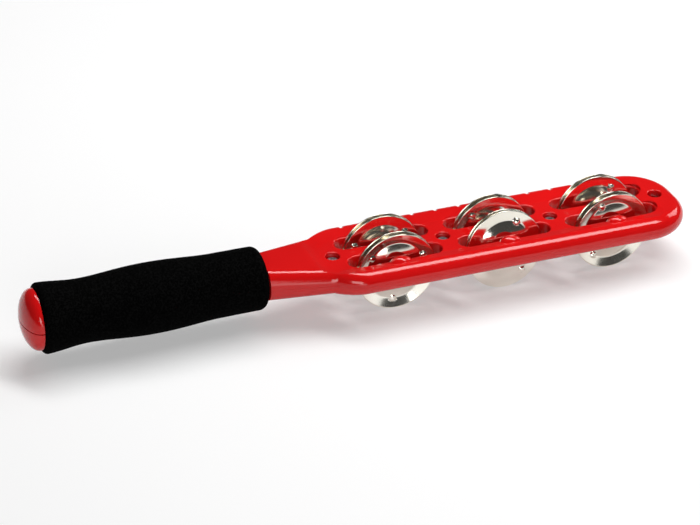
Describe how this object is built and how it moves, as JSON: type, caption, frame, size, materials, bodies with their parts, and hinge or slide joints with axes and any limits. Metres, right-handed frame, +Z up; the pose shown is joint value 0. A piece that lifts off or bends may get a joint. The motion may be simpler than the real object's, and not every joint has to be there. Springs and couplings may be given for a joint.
{
  "type": "jingle stick",
  "caption": "Hand-held jingle stick with a foam grip and a slotted flat head whose rows of slots hold loose paired metal jingles on pins.",
  "frame": {"origin": "middle of the length and width, at the level of the jingles' lowest edges", "axes": "+X from the handle to the head, +Y towards the edge with the scraping grooves, +Z up out of the side with the screw heads"},
  "size_m": [0.2944, 0.0472, 0.0353],
  "materials": {
    "red_plastic": "glossy moulded ABS",
    "foam": "matt black closed-cell foam",
    "jingles": "polished nickel plate on steel sheet",
    "pins": "plain bright steel",
    "screws": "zinc-plated steel"
  },
  "bodies": {
    "stick": {"upper_shell": "red_plastic", "lower_shell": "red_plastic", "foam_grip": "foam", "screw_1": "screws", "screw_2": "screws", "screw_3": "screws", "screw_4": "screws"},
    "pin_front_1": {"pin_front_1": "pins"},
    "jingle_front_1_near": {"jingle_front_1_near": "jingles"},
    "jingle_front_1_far": {"jingle_front_1_far": "jingles"},
    "pin_front_2": {"pin_front_2": "pins"},
    "jingle_front_2_near": {"jingle_front_2_near": "jingles"},
    "jingle_front_2_far": {"jingle_front_2_far": "jingles"},
    "pin_front_3": {"pin_front_3": "pins"},
    "jingle_front_3_near": {"jingle_front_3_near": "jingles"},
    "jingle_front_3_far": {"jingle_front_3_far": "jingles"},
    "pin_rear_1": {"pin_rear_1": "pins"},
    "jingle_rear_1_near": {"jingle_rear_1_near": "jingles"},
    "jingle_rear_1_far": {"jingle_rear_1_far": "jingles"},
    "pin_rear_2": {"pin_rear_2": "pins"},
    "jingle_rear_2_near": {"jingle_rear_2_near": "jingles"},
    "jingle_rear_2_far": {"jingle_rear_2_far": "jingles"},
    "pin_rear_3": {"pin_rear_3": "pins"},
    "jingle_rear_3_near": {"jingle_rear_3_near": "jingles"},
    "jingle_rear_3_far": {"jingle_rear_3_far": "jingles"}
  },
  "joints": [
    {"name": "jingle_turn_front_1", "type": "hinge", "parent": "stick", "child": "pin_front_1", "pos_m": [0.01225, -0.008, 0.01884], "axis": [0, 1, 0], "continuous": true},
    {"name": "jingle_rattle_front_1_near", "type": "slide", "parent": "pin_front_1", "child": "jingle_front_1_near", "axis": [0, -1, 0], "range_m": [-0.00025, 0.00025]},
    {"name": "jingle_rattle_front_1_far", "type": "slide", "parent": "pin_front_1", "child": "jingle_front_1_far", "axis": [0, 1, 0], "range_m": [-0.00025, 0.00025]},
    {"name": "jingle_turn_front_2", "type": "hinge", "parent": "stick", "child": "pin_front_2", "pos_m": [0.06225, -0.008, 0.01884], "axis": [0, 1, 0], "continuous": true},
    {"name": "jingle_rattle_front_2_near", "type": "slide", "parent": "pin_front_2", "child": "jingle_front_2_near", "axis": [0, -1, 0], "range_m": [-0.00025, 0.00025]},
    {"name": "jingle_rattle_front_2_far", "type": "slide", "parent": "pin_front_2", "child": "jingle_front_2_far", "axis": [0, 1, 0], "range_m": [-0.00025, 0.00025]},
    {"name": "jingle_turn_front_3", "type": "hinge", "parent": "stick", "child": "pin_front_3", "pos_m": [0.11225, -0.008, 0.01884], "axis": [0, 1, 0], "continuous": true},
    {"name": "jingle_rattle_front_3_near", "type": "slide", "parent": "pin_front_3", "child": "jingle_front_3_near", "axis": [0, -1, 0], "range_m": [-0.00025, 0.00025]},
    {"name": "jingle_rattle_front_3_far", "type": "slide", "parent": "pin_front_3", "child": "jingle_front_3_far", "axis": [0, 1, 0], "range_m": [-0.00025, 0.00025]},
    {"name": "jingle_turn_rear_1", "type": "hinge", "parent": "stick", "child": "pin_rear_1", "pos_m": [0.01225, 0.008, 0.01884], "axis": [0, 1, 0], "continuous": true},
    {"name": "jingle_rattle_rear_1_near", "type": "slide", "parent": "pin_rear_1", "child": "jingle_rear_1_near", "axis": [0, -1, 0], "range_m": [-0.00025, 0.00025]},
    {"name": "jingle_rattle_rear_1_far", "type": "slide", "parent": "pin_rear_1", "child": "jingle_rear_1_far", "axis": [0, 1, 0], "range_m": [-0.00025, 0.00025]},
    {"name": "jingle_turn_rear_2", "type": "hinge", "parent": "stick", "child": "pin_rear_2", "pos_m": [0.06225, 0.008, 0.01884], "axis": [0, 1, 0], "continuous": true},
    {"name": "jingle_rattle_rear_2_near", "type": "slide", "parent": "pin_rear_2", "child": "jingle_rear_2_near", "axis": [0, -1, 0], "range_m": [-0.00025, 0.00025]},
    {"name": "jingle_rattle_rear_2_far", "type": "slide", "parent": "pin_rear_2", "child": "jingle_rear_2_far", "axis": [0, 1, 0], "range_m": [-0.00025, 0.00025]},
    {"name": "jingle_turn_rear_3", "type": "hinge", "parent": "stick", "child": "pin_rear_3", "pos_m": [0.11225, 0.008, 0.01884], "axis": [0, 1, 0], "continuous": true},
    {"name": "jingle_rattle_rear_3_near", "type": "slide", "parent": "pin_rear_3", "child": "jingle_rear_3_near", "axis": [0, -1, 0], "range_m": [-0.00025, 0.00025]},
    {"name": "jingle_rattle_rear_3_far", "type": "slide", "parent": "pin_rear_3", "child": "jingle_rear_3_far", "axis": [0, 1, 0], "range_m": [-0.00025, 0.00025]}
  ]
}
